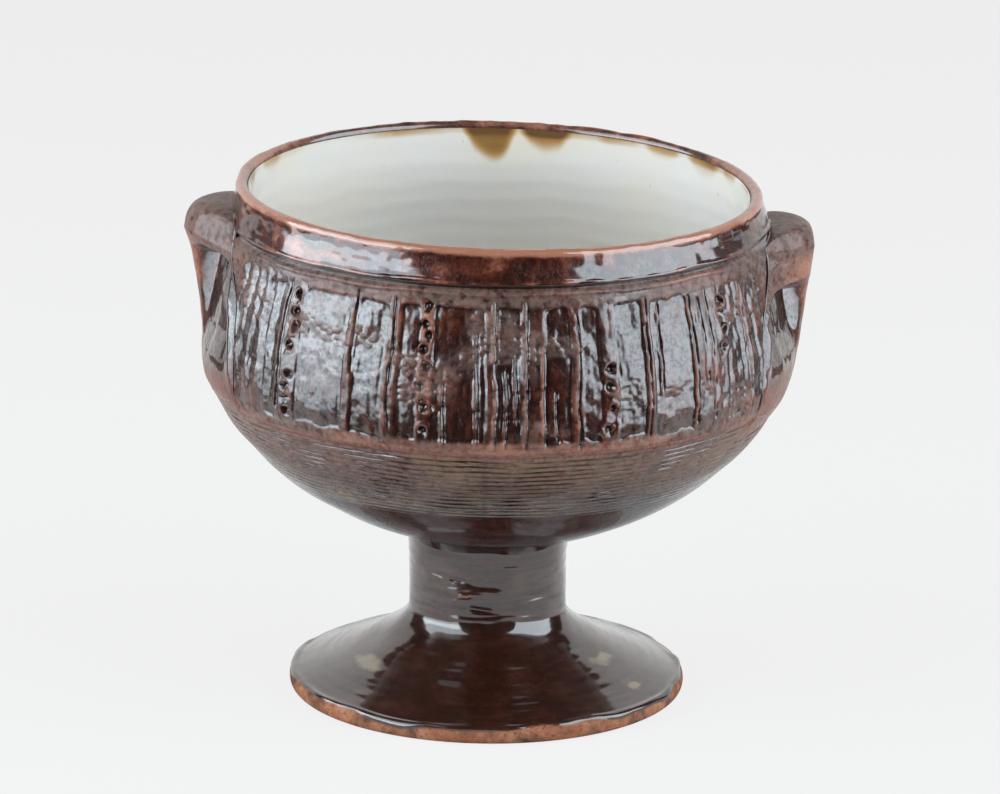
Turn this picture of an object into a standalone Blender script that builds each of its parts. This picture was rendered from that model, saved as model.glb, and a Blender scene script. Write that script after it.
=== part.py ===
import math

import bmesh
import bpy
from mathutils import Vector
from mathutils.geometry import interpolate_bezier

# A stoneware chalice: a thrown bowl set on a thrown pedestal, with two lug handles.
# Metres, +Z up. The origin is on the table, under the middle of the bowl.

# Clearances and joining slip
FIT_GAP = 0.0003
SEAM_THICKNESS = 0.0010
LUTE_THICKNESS = 0.0006

# Pedestal, from the table upwards
FOOT_RADIUS = 0.0597
FOOT_EDGE = 0.0050
FOOT_RING = 0.0070
FLARE_RISE = 0.0210
FLARE_FOOT_REACH = 0.0163
FLARE_FOOT_ANGLE = 20.0
FLARE_STEM_REACH = 0.0071
STEM_RISE = 0.0229
STEM_WAIST_RADIUS = 0.0232
STEM_TOP_SPREAD = 0.0010
STEM_WALL = 0.0058
HOLLOW_FOOT_REACH = 0.0140
HOLLOW_STEM_REACH = 0.0090
PEDESTAL_SHIFT = -0.0022

# Bowl, from its base upwards
BELLY_RISE = 0.0435
WIDEST_RISE = 0.0100
CARVED_BAND_RISE = 0.0498
RIM_BAND_RISE = 0.0112
WIDEST_RADIUS = 0.0882
SHOULDER_RADIUS = 0.0807
RIM_RADIUS = 0.0783
BASE_SLOPE = 14.0
BASE_REACH = 0.0440
BELLY_REACH = 0.0120
BAND_REACH = 0.0150
SHOULDER_LEAN = 12.0
WALL = 0.0050
FLOOR = 0.0070
FLOOR_REACH = 0.0480
LIP_THICKNESS = 0.0038
GROOVE_WIDTH = 0.0026
GROOVE_DEPTH = 0.0012
BAND_LEDGE = 0.0007

# Panels scraped into the carved band: middle and width in degrees from the front, again behind
PANELS = (
    (-50.0, 4.6), (-36.5, 11.5), (-25.7, 7.0), (-17.4, 4.6), (-7.3, 11.0), (2.6, 4.6),
    (11.8, 5.4), (18.4, 4.2), (26.6, 6.4), (36.0, 9.5), (53.0, 5.6),
)
PANEL_DEPTH = 0.0007
PANEL_HEAD = 0.0045
PANEL_FOOT = 0.0060
PANEL_CLEARANCE = 0.0015

# White glaze coat inside the bowl
LINER_THICKNESS = 0.0008
LINER_DROP = 0.0034

# Lug handles, from their tops downwards
LEFT_LUG_DROP = 0.0052
RIGHT_LUG_DROP = 0.0086
LUG_LENGTH = 0.0590
LUG_REACH = 0.0148
LUG_TAIL = 0.0010
LUG_EDGE = 0.0006
LUG_TAPER = 3.2
LUG_RIDGE = 0.0130
LUG_TOP_WIDTH = 0.0330
LUG_TAIL_WIDTH = 0.0140
LUG_SPREAD = 0.0190
LUG_SPREAD_BIAS = 1.25
LUG_CROWN = 0.0060

# Mesh fineness
TURN_STEPS = 48
CURVE_POINTS = 8
BELLY_POINTS = 11
ARC_POINTS = 7
LUG_RINGS = 13
LUG_RING_CROWDING = 1.4
LUG_ARC_POINTS = 17
PANEL_ROWS = 5
PANEL_COLUMNS = 3

# Heights and radii that follow from the sizes above
FLARE_HEIGHT = FOOT_EDGE + FLARE_RISE
STEM_TOP = FLARE_HEIGHT + STEM_RISE
STEM_TOP_RADIUS = STEM_WAIST_RADIUS + STEM_TOP_SPREAD
BORE_RADIUS = STEM_WAIST_RADIUS - STEM_WALL
SEAM_BOTTOM = STEM_TOP + FIT_GAP
BASE_HEIGHT = SEAM_BOTTOM + SEAM_THICKNESS + FIT_GAP
BASE_RADIUS = STEM_TOP_RADIUS + abs(PEDESTAL_SHIFT)
LEDGE_HEIGHT = BASE_HEIGHT + BELLY_RISE
WIDEST_HEIGHT = LEDGE_HEIGHT + WIDEST_RISE
GROOVE_HEIGHT = LEDGE_HEIGHT + CARVED_BAND_RISE
RIM_HEIGHT = GROOVE_HEIGHT + RIM_BAND_RISE
LUTE_GAP = FIT_GAP + LUTE_THICKNESS + FIT_GAP


def clear_scene():
    for thing in list(bpy.data.objects):
        bpy.data.objects.remove(thing, do_unlink=True)


def make_collection(name):
    collection = bpy.data.collections.new(name)
    bpy.context.scene.collection.children.link(collection)
    return collection


def make_material(name, colour, roughness):
    material = bpy.data.materials.new(name)
    material.use_nodes = True
    shader = material.node_tree.nodes["Principled BSDF"]
    shader.inputs["Base Color"].default_value = (*colour, 1.0)
    shader.inputs["Roughness"].default_value = roughness
    shader.inputs["Metallic"].default_value = 0.0
    return material


def curve(start, start_handle, end_handle, end, count=CURVE_POINTS):
    corners = [Vector((r, 0.0, z)) for r, z in (start, start_handle, end_handle, end)]
    return [(p.x, p.z) for p in interpolate_bezier(*corners, count)]


def arc(centre, radius, first_angle, last_angle, count=ARC_POINTS):
    points = []
    for i in range(count):
        angle = math.radians(first_angle + (last_angle - first_angle) * i / (count - 1))
        points.append((centre[0] + radius * math.cos(angle), centre[1] + radius * math.sin(angle)))
    return points


def offset(points, distance):
    # Moves an outline to its left by the distance, along the mean direction at each point
    moved = []
    for i, point in enumerate(points):
        before = points[max(i - 1, 0)]
        after = points[min(i + 1, len(points) - 1)]
        along_r = after[0] - before[0]
        along_z = after[1] - before[1]
        length = math.hypot(along_r, along_z)
        moved.append((point[0] - distance * along_z / length, point[1] + distance * along_r / length))
    return moved


def radius_at(points, height):
    # Radius of a falling outline at one height, straight between its points
    for upper, lower in zip(points, points[1:]):
        if lower[1] <= height <= upper[1]:
            share = (upper[1] - height) / max(upper[1] - lower[1], 1e-9)
            return upper[0] + (lower[0] - upper[0]) * share
    return points[0][0] if height > points[0][1] else points[-1][0]


def upper_wall():
    # Outside of the bowl from the shoulder line down to its widest place
    lean = math.radians(SHOULDER_LEAN)
    shoulder = (SHOULDER_RADIUS, GROOVE_HEIGHT)
    shoulder_handle = (
        SHOULDER_RADIUS + BAND_REACH * math.sin(lean),
        GROOVE_HEIGHT - BAND_REACH * math.cos(lean),
    )
    widest = (WIDEST_RADIUS, WIDEST_HEIGHT)
    widest_handle = (WIDEST_RADIUS, WIDEST_HEIGHT + BAND_REACH)
    return curve(shoulder, shoulder_handle, widest_handle, widest)


def belly():
    # Outside of the bowl from its widest place down to its flat base
    slope = math.radians(BASE_SLOPE)
    base_handle = (BASE_RADIUS + BASE_REACH * math.cos(slope), BASE_HEIGHT + BASE_REACH * math.sin(slope))
    widest = (WIDEST_RADIUS, WIDEST_HEIGHT)
    widest_handle = (WIDEST_RADIUS, WIDEST_HEIGHT - BELLY_REACH)
    return curve(widest, widest_handle, base_handle, (BASE_RADIUS, BASE_HEIGHT), BELLY_POINTS)


def plain_wall():
    # The whole outside as one smooth outline, which the lugs and their slip follow
    lip_side = [(RIM_RADIUS, RIM_HEIGHT), (RIM_RADIUS, RIM_HEIGHT - LIP_THICKNESS / 2)]
    return lip_side + upper_wall() + belly()[1:]


def bowl_inside():
    # Inside of the clay from the middle of the floor up to the lip
    floor_height = BASE_HEIGHT + FLOOR
    floor = (0.0, floor_height)
    widest = (WIDEST_RADIUS - WALL, WIDEST_HEIGHT)
    shoulder = (SHOULDER_RADIUS - WALL, GROOVE_HEIGHT)
    lip = (RIM_RADIUS - LIP_THICKNESS, RIM_HEIGHT - LIP_THICKNESS / 2)
    below = (widest[0], WIDEST_HEIGHT - (WIDEST_HEIGHT - floor_height) / 2)
    rise = curve(floor, (FLOOR_REACH, floor_height), below, widest, BELLY_POINTS)
    above = (widest[0], WIDEST_HEIGHT + BAND_REACH)
    wall = curve(widest, above, (shoulder[0], GROOVE_HEIGHT - BAND_REACH), shoulder)
    return rise + wall[1:] + [lip]


def bowl_outline():
    lip = arc((RIM_RADIUS - LIP_THICKNESS / 2, RIM_HEIGHT - LIP_THICKNESS / 2), LIP_THICKNESS / 2, 180, 0)
    half = GROOVE_WIDTH / 2
    wall = plain_wall()
    groove_foot = GROOVE_HEIGHT - half
    groove = [
        (radius_at(wall, GROOVE_HEIGHT + half), GROOVE_HEIGHT + half),
        (SHOULDER_RADIUS - GROOVE_DEPTH, GROOVE_HEIGHT),
        (radius_at(wall, groove_foot), groove_foot),
    ]
    band = [point for point in upper_wall() if point[1] < groove_foot - half]
    lower = belly()
    above_ledge = [point for point in lower[1:] if point[1] > LEDGE_HEIGHT]
    ledge_radius = radius_at(lower, LEDGE_HEIGHT)
    ledge = [(ledge_radius, LEDGE_HEIGHT), (ledge_radius - BAND_LEDGE, LEDGE_HEIGHT - BAND_LEDGE)]
    ledge_foot = LEDGE_HEIGHT - 2 * BAND_LEDGE
    below_ledge = [point for point in offset(lower, -BAND_LEDGE) if BASE_HEIGHT < point[1] < ledge_foot]
    base = [(BASE_RADIUS, BASE_HEIGHT), (0.0, BASE_HEIGHT)]
    return bowl_inside()[:-1] + lip + groove + band + above_ledge + ledge + below_ledge + base


def liner_outline():
    top = RIM_HEIGHT - LINER_DROP
    inside = bowl_inside()
    back = [point for point in offset(inside, FIT_GAP) if point[1] < top]
    face = [point for point in offset(inside, FIT_GAP + LINER_THICKNESS) if point[1] < top]
    back[0] = (0.0, back[0][1])
    face[0] = (0.0, face[0][1])
    edge = radius_at([inside[-1], inside[-2]], top)
    return face + [(edge - FIT_GAP - LINER_THICKNESS, top), (edge - FIT_GAP, top)] + back[::-1]


def pedestal_outline():
    half_edge = FOOT_EDGE / 2
    edge_centre = (FOOT_RADIUS - half_edge, half_edge)
    angle = math.radians(FLARE_FOOT_ANGLE)
    foot_handle = (
        edge_centre[0] - FLARE_FOOT_REACH * math.cos(angle),
        FOOT_EDGE + FLARE_FOOT_REACH * math.sin(angle),
    )
    waist = (STEM_WAIST_RADIUS, FLARE_HEIGHT)
    middle = (STEM_WAIST_RADIUS, FLARE_HEIGHT + STEM_RISE / 2)
    stem = curve((STEM_TOP_RADIUS, STEM_TOP), middle, middle, waist)
    waist_handle = (STEM_WAIST_RADIUS, FLARE_HEIGHT - FLARE_STEM_REACH)
    flare = curve(waist, waist_handle, foot_handle, (edge_centre[0], FOOT_EDGE))
    edge = arc(edge_centre, half_edge, 90, -90)
    ring = (edge_centre[0] - FOOT_RING, 0.0)
    hollow = curve(
        ring,
        (ring[0] - HOLLOW_FOOT_REACH, FOOT_EDGE),
        (BORE_RADIUS, FLARE_HEIGHT - HOLLOW_STEM_REACH),
        (BORE_RADIUS, FLARE_HEIGHT),
    )
    return stem + flare[1:] + edge[1:] + hollow + [(BORE_RADIUS, STEM_TOP)]


def seam_outline():
    top = SEAM_BOTTOM + SEAM_THICKNESS
    outside = [(STEM_TOP_RADIUS, top), (STEM_TOP_RADIUS, SEAM_BOTTOM)]
    return outside + [(BORE_RADIUS, SEAM_BOTTOM), (BORE_RADIUS, top)]


def lute_outline():
    outer = offset(plain_wall(), FIT_GAP + LUTE_THICKNESS)
    inner = offset(plain_wall(), FIT_GAP)
    return outer + inner[::-1]


def lug_cutter_outline():
    wall = offset(plain_wall(), LUTE_GAP)
    return [(0.0, wall[0][1])] + wall + [(0.0, wall[-1][1])]


def turned(name, outline, closed, collection, axis_x=0.0):
    # A profile at +X that a Screw modifier turns about its own Z axis
    mesh = bpy.data.meshes.new(name)
    edges = [(i, i + 1) for i in range(len(outline) - 1)]
    if closed:
        edges.append((len(outline) - 1, 0))
    mesh.from_pydata([(r, 0.0, z) for r, z in outline], edges, [])
    piece = bpy.data.objects.new(name, mesh)
    piece.location.x = axis_x
    collection.objects.link(piece)
    screw = piece.modifiers.new("turn", "SCREW")
    screw.axis = "Z"
    screw.angle = math.tau
    screw.steps = TURN_STEPS
    screw.render_steps = TURN_STEPS
    screw.use_merge_vertices = True
    screw.merge_threshold = 0.00001
    screw.use_smooth_shade = True
    return piece


def wall_vertex(shape, radius, angle, height):
    return shape.verts.new((radius * math.cos(angle), radius * math.sin(angle), height))


def lug_mesh(name, top):
    # A pinched ear of clay, lofted from rings that follow the wall down from the top
    wall = plain_wall()
    mesh = bpy.data.meshes.new(name)
    shape = bmesh.new()
    rings = []
    for i in range(LUG_RINGS):
        share = (i / (LUG_RINGS - 1)) ** LUG_RING_CROWDING
        height = top - LUG_LENGTH * share
        below_crown = max(0.0, 1.0 - LUG_LENGTH * share / LUG_CROWN)
        rounding = LUG_CROWN * (1.0 - math.sqrt(1.0 - below_crown ** 2))
        reach = LUG_TAIL + (LUG_REACH - LUG_TAIL) * (1.0 - share) ** LUG_TAPER - rounding
        half_width = (LUG_TOP_WIDTH * (1.0 - share) + LUG_TAIL_WIDTH * share) / 2
        half_width += LUG_SPREAD * math.sin(math.pi * share ** LUG_SPREAD_BIAS) - rounding
        seat = radius_at(wall, height) + LUTE_GAP
        ring = []
        for k in range(LUG_ARC_POINTS):
            along = half_width * (2.0 * k / (LUG_ARC_POINTS - 1) - 1.0)
            swell = math.exp(-((along / LUG_RIDGE) ** 2))
            radius = seat + LUG_EDGE + (reach - LUG_EDGE) * swell
            ring.append(wall_vertex(shape, radius, along / seat, height))
        for side in (half_width, -half_width):
            ring.append(wall_vertex(shape, seat - LUTE_GAP - FIT_GAP, side / seat, height))
        rings.append(ring)
    for upper, lower in zip(rings, rings[1:]):
        for k in range(len(upper)):
            after = (k + 1) % len(upper)
            shape.faces.new((upper[k], lower[k], lower[after], upper[after]))
    shape.faces.new(rings[0])
    shape.faces.new(rings[-1][::-1])
    bmesh.ops.recalc_face_normals(shape, faces=shape.faces)
    shape.to_mesh(mesh)
    shape.free()
    mesh.shade_smooth()
    mesh.set_sharp_from_angle(angle=math.radians(50))
    return mesh


def panel_block(shape, middle, width):
    # One curved block, from the floor of a panel out past the wall
    wall = plain_wall()
    top = GROOVE_HEIGHT - PANEL_HEAD
    bottom = LEDGE_HEIGHT + PANEL_FOOT
    layers = []
    for depth in (-PANEL_DEPTH, PANEL_CLEARANCE):
        layer = []
        for i in range(PANEL_ROWS):
            height = top + (bottom - top) * i / (PANEL_ROWS - 1)
            radius = radius_at(wall, height) + depth
            row = []
            for k in range(PANEL_COLUMNS):
                angle = math.radians(middle + width * (k / (PANEL_COLUMNS - 1) - 0.5))
                row.append(wall_vertex(shape, radius, angle, height))
            layer.append(row)
        layers.append(layer)
    floor, face = layers
    for i in range(PANEL_ROWS - 1):
        for k in range(PANEL_COLUMNS - 1):
            for layer in layers:
                shape.faces.new((layer[i][k], layer[i][k + 1], layer[i + 1][k + 1], layer[i + 1][k]))
        for k in (0, PANEL_COLUMNS - 1):
            shape.faces.new((floor[i][k], face[i][k], face[i + 1][k], floor[i + 1][k]))
    for i in (0, PANEL_ROWS - 1):
        for k in range(PANEL_COLUMNS - 1):
            shape.faces.new((floor[i][k], face[i][k], face[i][k + 1], floor[i][k + 1]))


def panel_cutter(name, collection):
    mesh = bpy.data.meshes.new(name)
    shape = bmesh.new()
    for side in (-90.0, 90.0):
        for middle, width in PANELS:
            panel_block(shape, side + middle, width)
    bmesh.ops.recalc_face_normals(shape, faces=shape.faces)
    shape.to_mesh(mesh)
    shape.free()
    cutter = bpy.data.objects.new(name, mesh)
    collection.objects.link(cutter)
    return hide_cutter(cutter)


def cut_with(piece, operation, cutter, name):
    boolean = piece.modifiers.new(name, "BOOLEAN")
    boolean.operation = operation
    boolean.solver = "EXACT"
    boolean.object = cutter


def cut_piece(name, mesh, operation, cutter, turn, collection):
    piece = bpy.data.objects.new(name, mesh)
    piece.rotation_euler.z = turn
    collection.objects.link(piece)
    cut_with(piece, operation, cutter, "seat on wall")
    return piece


def hide_cutter(cutter):
    cutter.hide_render = True
    cutter.display_type = "WIRE"
    return cutter


def make_cutter(name, outline, closed, collection):
    return hide_cutter(turned(name, outline, closed, collection))


def main():
    clear_scene()
    chalice = make_collection("stoneware_chalice")
    cutters = make_collection("cutters")
    iron_glaze = make_material("iron_glaze", (0.060, 0.022, 0.012), 0.15)
    white_glaze = make_material("white_glaze", (0.62, 0.64, 0.60), 0.15)
    clay_slip = make_material("clay_slip", (0.30, 0.15, 0.07), 0.6)

    bowl = turned("bowl", bowl_outline(), False, chalice)
    liner = turned("liner_glaze", liner_outline(), False, chalice)
    pedestal = turned("pedestal", pedestal_outline(), True, chalice, PEDESTAL_SHIFT)
    seam = turned("stem_slip_seam", seam_outline(), True, chalice, PEDESTAL_SHIFT)

    cut_with(bowl, "DIFFERENCE", panel_cutter("panel_blocks", cutters), "carve panels")
    wall_block = make_cutter("wall_block", lug_cutter_outline(), False, cutters)
    slip_shell = make_cutter("slip_shell", lute_outline(), True, cutters)
    sides = (("right", 0.0, RIGHT_LUG_DROP), ("left", math.pi, LEFT_LUG_DROP))
    lugs = []
    slips = []
    for side, turn, drop in sides:
        mesh = lug_mesh(side + "_lug", RIM_HEIGHT - drop)
        slip_mesh = mesh.copy()
        lugs.append(cut_piece(side + "_lug", mesh, "DIFFERENCE", wall_block, turn, chalice))
        slips.append(cut_piece(side + "_lug_slip", slip_mesh, "INTERSECT", slip_shell, turn, chalice))

    for piece in (bowl, pedestal, *lugs):
        piece.data.materials.append(iron_glaze)
    for piece in (seam, *slips):
        piece.data.materials.append(clay_slip)
    liner.data.materials.append(white_glaze)


main()
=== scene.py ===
from math import cos, pi, radians, sin, tau
import bpy
import bmesh
import numpy as np
from mathutils import Matrix, Vector


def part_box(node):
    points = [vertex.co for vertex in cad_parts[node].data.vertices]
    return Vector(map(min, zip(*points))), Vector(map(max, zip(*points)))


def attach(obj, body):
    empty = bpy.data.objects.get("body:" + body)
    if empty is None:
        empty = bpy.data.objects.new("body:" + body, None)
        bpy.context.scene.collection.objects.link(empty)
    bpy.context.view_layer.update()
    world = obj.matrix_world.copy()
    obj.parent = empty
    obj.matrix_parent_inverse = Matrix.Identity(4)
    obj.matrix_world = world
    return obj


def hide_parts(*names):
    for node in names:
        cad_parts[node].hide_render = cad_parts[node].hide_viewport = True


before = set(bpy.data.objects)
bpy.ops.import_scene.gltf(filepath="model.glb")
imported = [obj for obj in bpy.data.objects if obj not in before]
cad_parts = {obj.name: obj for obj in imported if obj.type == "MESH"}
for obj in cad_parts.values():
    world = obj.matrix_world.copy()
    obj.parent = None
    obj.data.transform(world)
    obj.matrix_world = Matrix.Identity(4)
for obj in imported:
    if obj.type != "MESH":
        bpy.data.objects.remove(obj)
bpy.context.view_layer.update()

mm = 0.001


def boxOf(node):
    return np.array(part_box(node)) / mm


# sizes read from the frame; lengths are in mm, but in metres in node trees and in the studio
bowlLow, bowlHigh = boxOf("bowl")
footLow, footHigh = boxOf("pedestal")
rimHeight = bowlHigh[2]
baseHeight = bowlLow[2]
widestRadius = bowlHigh[0]
arcPerDegree = widestRadius * tau / 360.0
stemAxis = (footLow[0] + footHigh[0]) / 2
footRadius = (footHigh[0] - footLow[0]) / 2
stemTop = footHigh[2]

scene = bpy.context.scene
scene.view_settings.view_transform = "Standard"


# profiles, masks and noise
def bezier(start, startHandle, endHandle, end, count):
    t = np.linspace(0.0, 1.0, count)[:, None]
    a, b, c, d = (np.array(p, float) for p in (start, startHandle, endHandle, end))
    return (1 - t) ** 3 * a + 3 * (1 - t) ** 2 * t * b + 3 * (1 - t) * t * t * c + t ** 3 * d


def lengthAlong(points):
    step = np.hypot(*np.diff(points, axis=0).T)
    return np.concatenate([[0.0], np.cumsum(step)])


def resample(points, count):
    # equal steps along a line of points
    points = np.array(points)
    along = lengthAlong(points)
    even = np.linspace(0.0, along[-1], count)
    return np.stack([np.interp(even, along, points[:, k]) for k in (0, 1)], 1)


def normalOf(profile):
    # outward normal of a profile that runs down its outer side
    along = np.gradient(profile, axis=0)
    length = np.hypot(along[:, 0], along[:, 1])
    return np.stack([-along[:, 1] / length, along[:, 0] / length], 1)


def softStep(low, high, x):
    t = unit((x - low) / (high - low))
    return t * t * (3.0 - 2.0 * t)


def softFall(low, high, x):
    return 1.0 - softStep(low, high, x)


def softSpan(x, riseLow, riseHigh, fallLow, fallHigh):
    return softStep(riseLow, riseHigh, x) * softFall(fallLow, fallHigh, x)


def unit(x):
    return np.clip(x, 0.0, 1.0)


def bump(x, width):
    return np.exp(-(x / width) ** 2)


def turnFrom(angle, degreesAt):
    # degrees away from a place round the pot, -180 to 180; 0 is the front
    return (np.degrees(angle) - degreesAt + 180.0) % 360.0 - 180.0


def angleGrid(columns, rows):
    return np.tile(np.arange(columns) / columns * tau, (rows, 1))


def pushedOut(profile, relief):
    # radius and height after the relief has moved each row along its normal
    normal = normalOf(profile)
    return profile[:, :1] + relief * normal[:, :1], profile[:, 1:] + relief * normal[:, 1:]


def clayNoise(angle, up, aroundCells, upCells, seed):
    # smooth noise from -1 to 1, closed round the pot; up runs from 0 to 1
    table = np.random.default_rng(seed).uniform(-1.0, 1.0, (upCells + 2, aroundCells))
    a = (angle / tau % 1.0) * aroundCells
    h = unit(up) * upCells
    a0 = np.floor(a).astype(int)
    h0 = np.minimum(np.floor(h).astype(int), upCells)
    fa = softStep(0.0, 1.0, a - a0)
    fh = softStep(0.0, 1.0, h - h0)
    a0 = a0 % aroundCells
    a1 = (a0 + 1) % aroundCells
    low = table[h0, a0] * (1 - fa) + table[h0, a1] * fa
    high = table[h0 + 1, a0] * (1 - fa) + table[h0 + 1, a1] * fa
    return low * (1 - fh) + high * fh


def clayLayers(angle, up, *layers):
    # each layer has its strength, cells round the pot, cells up and seed
    return sum(strength * clayNoise(angle, up, *cells) for strength, *cells in layers)


def outOfRound(angle):
    return 0.3 * clayNoise(angle, 0.0, 7, 1, 23)


def blurred(values, rows, columns):
    # mean over a patch of the grid, closed round the pot
    wide = sum(np.roll(values, k, 1) for k in range(-columns, columns + 1)) / (2 * columns + 1)
    padded = np.pad(wide, ((rows, rows), (0, 0)), "edge")
    return sum(padded[k:k + len(values)] for k in range(2 * rows + 1)) / (2 * rows + 1)


def named(keys, *rows):
    # rows of values as dictionaries; a short row leaves out the last keys
    return [dict(zip(keys.split(), row)) for row in rows]


# meshes
def addObject(name, data):
    thing = bpy.data.objects.new(name, data)
    scene.collection.objects.link(thing)
    return thing


def addValues(mesh, values):
    for key, value in values.items():
        layer = mesh.attributes.new(key, "FLOAT", "POINT")
        layer.data.foreach_set("value", np.ascontiguousarray(value, np.float32).ravel())


def meshPiece(name, verts, faces, material, values):
    mesh = bpy.data.meshes.new(name)
    mesh.from_pydata(verts.reshape(-1, 3).tolist(), [], faces.tolist())
    addValues(mesh, values)
    mesh.materials.append(material)
    mesh.shade_smooth()
    return addObject(name, mesh)


def aroundAxis(radius, height, angle, axisX=0.0):
    # angle 0 faces the viewer
    x = axisX + radius * np.sin(angle)
    y = -radius * np.cos(angle)
    return np.stack(np.broadcast_arrays(x, y, height), -1)


def turnedPiece(name, radius, height, angle, material, values, axisX=0.0, closed=True):
    # rows run along the profile, columns round the pot
    rows, columns = radius.shape
    i, j = np.meshgrid(np.arange(rows - 1), np.arange(columns - (not closed)), indexing="ij")
    k = (j + 1) % columns
    corners = (i * columns + j, (i + 1) * columns + j, (i + 1) * columns + k, i * columns + k)
    faces = np.stack(corners, -1).reshape(-1, 4)
    filled = {key: np.broadcast_to(value, radius.shape) for key, value in values.items()}
    return meshPiece(name, aroundAxis(radius, height, angle, axisX) * mm, faces, material, filled)


def closePole(piece):
    shape = bmesh.new()
    shape.from_mesh(piece.data)
    bmesh.ops.remove_doubles(shape, verts=shape.verts, dist=1e-7)
    shape.to_mesh(piece.data)
    shape.free()


def evaluatedMesh(thing):
    graph = bpy.context.evaluated_depsgraph_get()
    return bpy.data.meshes.new_from_object(thing.evaluated_get(graph), depsgraph=graph)


def readValues(piece, name):
    values = np.zeros(len(piece.data.vertices), np.float32)
    piece.data.attributes[name].data.foreach_get("value", values)
    return values


def writeValues(piece, name, values):
    piece.data.attributes[name].data.foreach_set("value", values.astype(np.float32))


def handOver(piece, slot, *nodes):
    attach(piece, "root")
    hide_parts(*nodes)


# nodes
def feed(tree, node, inputs):
    # a socket is wired, any other value is set; a colour gets its alpha
    for key, value in inputs.items():
        socket = node.inputs[key]
        if isinstance(value, bpy.types.NodeSocket):
            tree.links.new(value, socket)
        elif isinstance(value, tuple):
            socket.default_value = (*value, 1.0)[:len(socket.default_value)]
        else:
            socket.default_value = value


def addNode(tree, kind, inputs={}, **settings):
    node = tree.nodes.new(kind)
    for key, value in settings.items():
        setattr(node, key, value)
    feed(tree, node, inputs)
    return node


def made(tree, kind, inputs={}, **settings):
    return addNode(tree, kind, inputs, **settings).outputs[0]


def mathNode(tree, operation, *values):
    return made(tree, "ShaderNodeMath", dict(enumerate(values)), operation=operation)


def times(tree, a, b):
    return mathNode(tree, "MULTIPLY", a, b)


def timesPlus(tree, a, b, c):
    return mathNode(tree, "MULTIPLY_ADD", a, b, c)


def sway(tree, noise, strength, base):
    # noise about its middle, added to the base
    return timesPlus(tree, mathNode(tree, "SUBTRACT", noise, 0.5), strength, base)


def rangeNode(tree, value, fromLow, fromHigh, toLow=0.0, toHigh=1.0):
    inputs = {"Value": value, "From Min": fromLow, "From Max": fromHigh, "To Min": toLow, "To Max": toHigh}
    return made(tree, "ShaderNodeMapRange", inputs, interpolation_type="SMOOTHSTEP")


def mixColour(tree, factor, first, second):
    return addNode(tree, "ShaderNodeMix", {0: factor, 6: first, 7: second}, data_type="RGBA").outputs[2]


def blendBy(tree, value, low, high, first, second):
    return mixColour(tree, rangeNode(tree, value, low, high), first, second)


def objectPlace(tree):
    return addNode(tree, "ShaderNodeTexCoord").outputs["Object"]


def noiseNode(tree, vector, scale, detail, roughness):
    inputs = {"Vector": vector, "Scale": scale, "Detail": detail, "Roughness": roughness}
    return made(tree, "ShaderNodeTexNoise", inputs)


def stretched(tree, vector, z):
    return made(tree, "ShaderNodeMapping", {"Vector": vector, "Scale": (1.0, 1.0, z)})


def bumpFrom(tree, height, strength, distance):
    inputs = {"Height": height, "Strength": strength, "Distance": distance}
    return made(tree, "ShaderNodeBump", inputs)


def attribute(tree, name):
    return addNode(tree, "ShaderNodeAttribute", attribute_name=name).outputs["Fac"]


def newTree(name, kind, inputs, outputs):
    # an input has its label, kind and value, an output its label and kind
    tree = bpy.data.node_groups.new(name, kind)
    for label, socketKind, value in inputs:
        socket = tree.interface.new_socket(label, in_out="INPUT", socket_type="NodeSocket" + socketKind)
        if value is not None:
            socket.default_value = value
    for label, socketKind in outputs:
        tree.interface.new_socket(label, in_out="OUTPUT", socket_type="NodeSocket" + socketKind)
    return tree, tree.nodes.new("NodeGroupInput").outputs, tree.nodes.new("NodeGroupOutput")


def newMaterial(name):
    material = bpy.data.materials.new(name)
    material.use_nodes = True
    tree = material.node_tree
    return material, tree, tree.nodes["Principled BSDF"]


# iron glaze: dark where it lies thick, rust where it breaks over an edge, grey and dull where it lies matte
glazeLook = dict(deep=(0.018, 0.0040, 0.0021), body=(0.094, 0.0185, 0.0080), rust=(0.365, 0.140, 0.082),
                 ochre=(0.25, 0.17, 0.072), grey=(0.27, 0.182, 0.153), breakLow=0.20, breakHigh=0.95,
                 rustShare=0.85, greyShare=0.45, leastRough=0.22, dullRough=0.20, dullLoss=0.80,
                 bumpStrength=0.65, bumpDeep=1.2 * mm, coatBend=1.9)
# scale, detail and roughness of each noise
glazeNoise = dict(mottle=(60.0, 4.0, 0.6), pucker=(430.0, 4.0, 0.6), grain=(800.0, 3.0, 0.65),
                  peel=(1300.0, 2.0, 0.5), blister=(260.0, 5.0, 0.75), drip=(420.0, 4.0, 0.65))


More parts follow.
